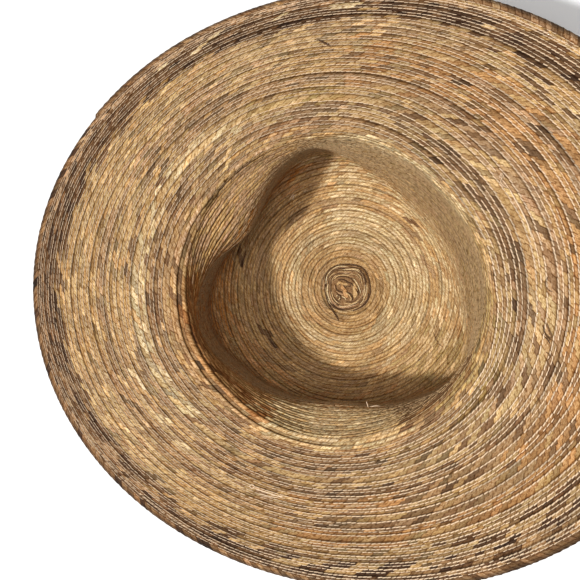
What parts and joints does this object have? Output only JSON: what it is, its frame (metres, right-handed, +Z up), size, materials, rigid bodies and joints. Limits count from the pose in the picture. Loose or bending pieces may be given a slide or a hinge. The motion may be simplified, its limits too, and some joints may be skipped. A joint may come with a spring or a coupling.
{
  "type": "wide-brim straw hat",
  "caption": "Wide-brim hat sewn from plaited palm straw, lying on its pinched crown with the open head hollow facing up.",
  "frame": {"origin": "on the surface the hat lies on, under the middle of its brim outline", "axes": "+Z up, out of the head hollow, because the hat lies on its crown; +X towards the back of the hat; +Y to the hat's own right, seen as it is worn"},
  "size_m": [0.4075, 0.365, 0.105],
  "materials": {
    "golden_straw": "dry plaited palm straw, matt, golden tan with paler and browner strands",
    "brown_straw": "dry plaited palm straw, matt, darker brown strands"
  },
  "bodies": {
    "root": {"crown_button": "brown_straw", "crown_tip": "golden_straw", "crown_side": "golden_straw", "brim": "golden_straw", "brim_edge": "brown_straw"}
  },
  "joints": []
}
